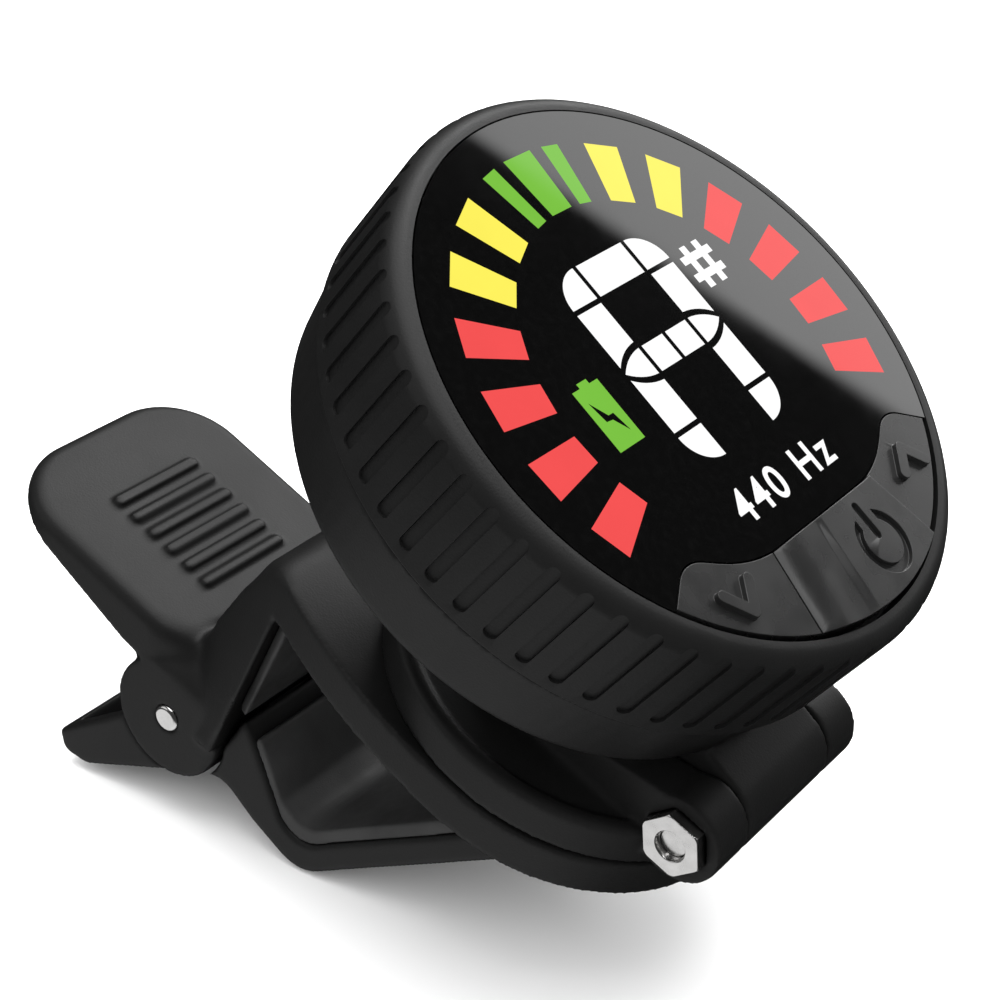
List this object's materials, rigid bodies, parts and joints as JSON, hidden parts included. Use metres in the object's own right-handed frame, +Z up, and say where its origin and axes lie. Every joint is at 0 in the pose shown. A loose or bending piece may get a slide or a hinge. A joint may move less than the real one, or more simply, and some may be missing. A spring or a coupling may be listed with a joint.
{
  "type": "clip on tuner",
  "caption": "Clip-on instrument tuner: a round display head with keys, tilting and turning on a sprung clip with padded jaws.",
  "frame": {"origin": "middle of the upper pad's gripping face, on the swivel's axis", "axes": "+Z up as the tuner stands in use, +X from the thumb lever towards the head's hinge, Y along the hinge pins"},
  "size_m": [0.0703, 0.0424, 0.0574],
  "materials": {
    "clip_plastic": "fine satin texture",
    "pad_rubber": "matte",
    "steel": "bright satin",
    "washer_plastic": "smooth",
    "head_plastic": "fine satin texture",
    "lens": "polished",
    "green": "printed behind clear gloss",
    "yellow": "printed behind clear gloss",
    "red": "printed behind clear gloss",
    "white": "printed behind clear gloss",
    "module_plastic": "smooth",
    "switch_plastic": "smooth",
    "board": "solder mask",
    "battery_foil": "pouch foil",
    "brass": "plain",
    "key_rubber": "matte"
  },
  "bodies": {
    "clip": {"upper_jaw": "clip_plastic", "upper_pad": "pad_rubber", "pivot_pin": "steel", "torsion_spring": "steel"},
    "jaw": {"lower_jaw": "clip_plastic", "lower_pad": "pad_rubber"},
    "swivel": {"swivel_platform": "clip_plastic", "hinge_bolt": "steel", "hinge_nut": "steel", "friction_washers": "washer_plastic", "swivel_washer": "washer_plastic", "retaining_washer": "steel", "swivel_screw": "steel"},
    "head": {"front_housing": "head_plastic", "display_lens": "lens", "green_windows": "green", "yellow_windows": "yellow", "red_windows": "red", "note_windows": "white", "sharp_window": "white", "battery_window": "green", "display_module": "module_plastic", "key_switches": "switch_plastic", "circuit_board": "board", "battery_cell": "battery_foil", "piezo_disc": "brass", "charging_socket": "steel", "back_cover": "head_plastic", "housing_screws": "steel"},
    "down_key": {"key_down": "key_rubber"},
    "power_key": {"key_power": "key_rubber"},
    "up_key": {"key_up": "key_rubber"}
  },
  "joints": [
    {"name": "jaw_pivot", "type": "hinge", "parent": "clip", "child": "jaw", "pos_m": [-0.02834, 0, -0.00464], "axis": [0, 1, 0], "range_deg": [0, 40], "stiffness_Nm_per_rad": 0.15, "springref_deg": -34.38, "deforming": ["torsion_spring"]},
    {"name": "display_swivel", "type": "hinge", "parent": "clip", "child": "swivel", "pos_m": [0.0021, 0, 0.00431], "axis": [0.4384, 0, 0.8988], "continuous": true},
    {"name": "display_tilt", "type": "hinge", "parent": "swivel", "child": "head", "pos_m": [0.01562, 0, 0.00254], "axis": [0, 1, 0], "range_deg": [-10, 90]},
    {"name": "down_press", "type": "slide", "parent": "head", "child": "down_key", "axis": [-0.632, 0, -0.7749], "range_m": [0, 0.0004], "stiffness_N_per_m": 800, "springref_m": -0.0005},
    {"name": "power_press", "type": "slide", "parent": "head", "child": "power_key", "axis": [-0.632, 0, -0.7749], "range_m": [0, 0.0004], "stiffness_N_per_m": 800, "springref_m": -0.0005},
    {"name": "up_press", "type": "slide", "parent": "head", "child": "up_key", "axis": [-0.632, 0, -0.7749], "range_m": [0, 0.0004], "stiffness_N_per_m": 800, "springref_m": -0.0005}
  ]
}
